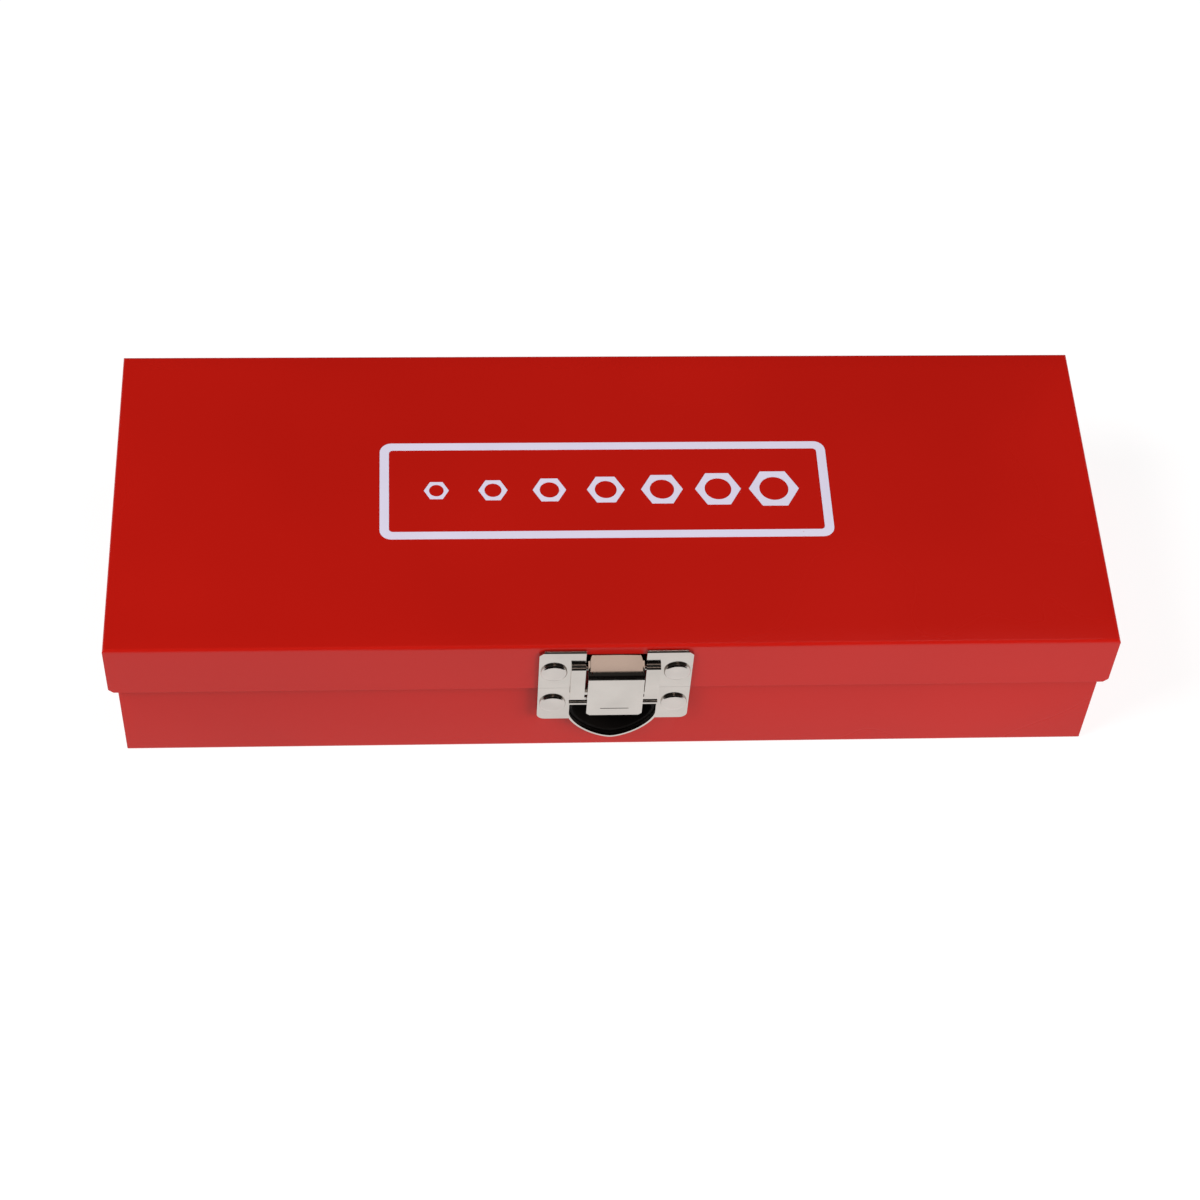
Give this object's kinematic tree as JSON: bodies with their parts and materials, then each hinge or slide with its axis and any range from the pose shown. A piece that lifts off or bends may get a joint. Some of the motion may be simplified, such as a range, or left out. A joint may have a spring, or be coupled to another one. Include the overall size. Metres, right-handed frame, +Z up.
{
  "type": "socket wrench set in a metal case",
  "caption": "Socket wrench set packed in a red folded-steel case with a lift-up front latch, rear-hinged lid and moulded tray.",
  "frame": {"origin": "centre of the underside of the case, on the surface that it stands on", "axes": "+X along the case, to the right seen from the latch; +Y from the latch to the hinges; +Z up"},
  "size_m": [0.254, 0.105, 0.0461],
  "materials": {
    "red_paint": "gloss enamel",
    "white_print": "printed film",
    "nickel_plate": "bright nickel",
    "steel_rivet": "bright plated",
    "zinc_hinge": "zinc plated",
    "spring_steel": "drawn wire",
    "black_cup": "moulded",
    "black_tray": "moulded, fine grain",
    "chrome_socket": "polished chrome",
    "rubber_insert": "matt",
    "chrome_ratchet": "satin chrome",
    "ball_steel": "polished",
    "dark_steel": "black oxide"
  },
  "bodies": {
    "case_base": {"case_body": "red_paint", "latch_body_plate": "nickel_plate", "catch_spring": "spring_steel", "finger_cup": "black_cup", "latch_body_rivets": "steel_rivet", "hinge_body_leaf_left": "zinc_hinge", "hinge_body_leaf_right": "zinc_hinge", "hinge_pin_left": "zinc_hinge", "hinge_pin_right": "zinc_hinge", "hinge_body_rivets": "steel_rivet", "tray": "black_tray", "socket_10": "chrome_socket", "socket_11": "chrome_socket", "socket_12": "chrome_socket", "socket_13": "chrome_socket", "socket_14": "chrome_socket", "socket_15": "chrome_socket", "socket_16": "chrome_socket", "socket_17": "chrome_socket", "socket_18": "chrome_socket", "socket_19": "chrome_socket", "spark_plug_socket": "chrome_socket", "spark_plug_insert": "rubber_insert", "extension_short": "chrome_socket", "extension_short_spring": "spring_steel", "extension_long": "chrome_socket", "extension_long_spring": "spring_steel", "ratchet_body": "chrome_ratchet", "ratchet_cover": "chrome_ratchet", "ratchet_screws": "dark_steel", "pawl_pin": "dark_steel"},
    "lid": {"case_lid": "red_paint", "lid_graphic": "white_print", "latch_lid_plate": "nickel_plate", "latch_pin": "steel_rivet", "latch_spring": "spring_steel", "latch_lid_rivets": "steel_rivet", "hinge_lid_leaf_left": "zinc_hinge", "hinge_lid_leaf_right": "zinc_hinge", "hinge_lid_rivets": "steel_rivet"},
    "lever": {"latch_lever": "nickel_plate"},
    "drive": {"drive_gear": "dark_steel", "release_spring": "spring_steel"},
    "button": {"release_button": "chrome_ratchet"},
    "drive_detent": {"drive_ball": "ball_steel"},
    "selector": {"selector_lever": "chrome_ratchet", "selector_plunger": "dark_steel", "selector_spring": "spring_steel"},
    "rocking_pawl": {"pawl": "dark_steel"},
    "short_detent": {"extension_short_ball": "ball_steel"},
    "long_detent": {"extension_long_ball": "ball_steel"}
  },
  "joints": [
    {"name": "lid_hinge", "type": "hinge", "parent": "case_base", "child": "lid", "pos_m": [0, 0.0502, 0.028], "axis": [-1, 0, 0], "range_deg": [0, 180], "deforming": ["catch_spring"]},
    {"name": "latch_lever_pivot", "type": "hinge", "parent": "lid", "child": "lever", "pos_m": [0, -0.0488, 0.038], "axis": [-1, 0, 0], "range_deg": [0, 75], "stiffness_Nm_per_rad": 0.01, "springref_deg": -28.65, "deforming": ["latch_spring"]},
    {"name": "drive_spin", "type": "hinge", "parent": "case_base", "child": "drive", "pos_m": [-0.1038, 0.0025, 0.016], "axis": [0, 0, 1], "continuous": true},
    {"name": "selector_turn", "type": "hinge", "parent": "case_base", "child": "selector", "pos_m": [-0.0818, 0.0025, 0.016], "axis": [0, 0, 1], "range_deg": [0, 60]},
    {"name": "pawl_rock", "type": "hinge", "parent": "case_base", "child": "rocking_pawl", "pos_m": [-0.0894, 0.0025, 0.016], "axis": [0, 0, 1], "range_deg": [-9.4, 0]},
    {"name": "release_press", "type": "slide", "parent": "drive", "child": "button", "axis": [0, 0, -1], "range_m": [0, 0.002], "stiffness_N_per_m": 250, "springref_m": -0.001, "deforming": ["release_spring"]},
    {"name": "drive_ball_slide", "type": "slide", "parent": "drive", "child": "drive_detent", "axis": [-1, 0, 0], "range_m": [0, 0.0006]},
    {"name": "short_ball_slide", "type": "slide", "parent": "case_base", "child": "short_detent", "axis": [0, 0, -1], "range_m": [0, 0.00055], "stiffness_N_per_m": 200, "springref_m": -0.0005, "deforming": ["extension_short_spring"]},
    {"name": "long_ball_slide", "type": "slide", "parent": "case_base", "child": "long_detent", "axis": [0, 0, -1], "range_m": [0, 0.00055], "stiffness_N_per_m": 200, "springref_m": -0.0005, "deforming": ["extension_long_spring"]}
  ],
  "couplings": [
    {"joint": "pawl_rock", "follows": "selector_turn", "ratio": -0.15667},
    {"joint": "drive_ball_slide", "follows": "release_press", "ratio": 0.3}
  ]
}
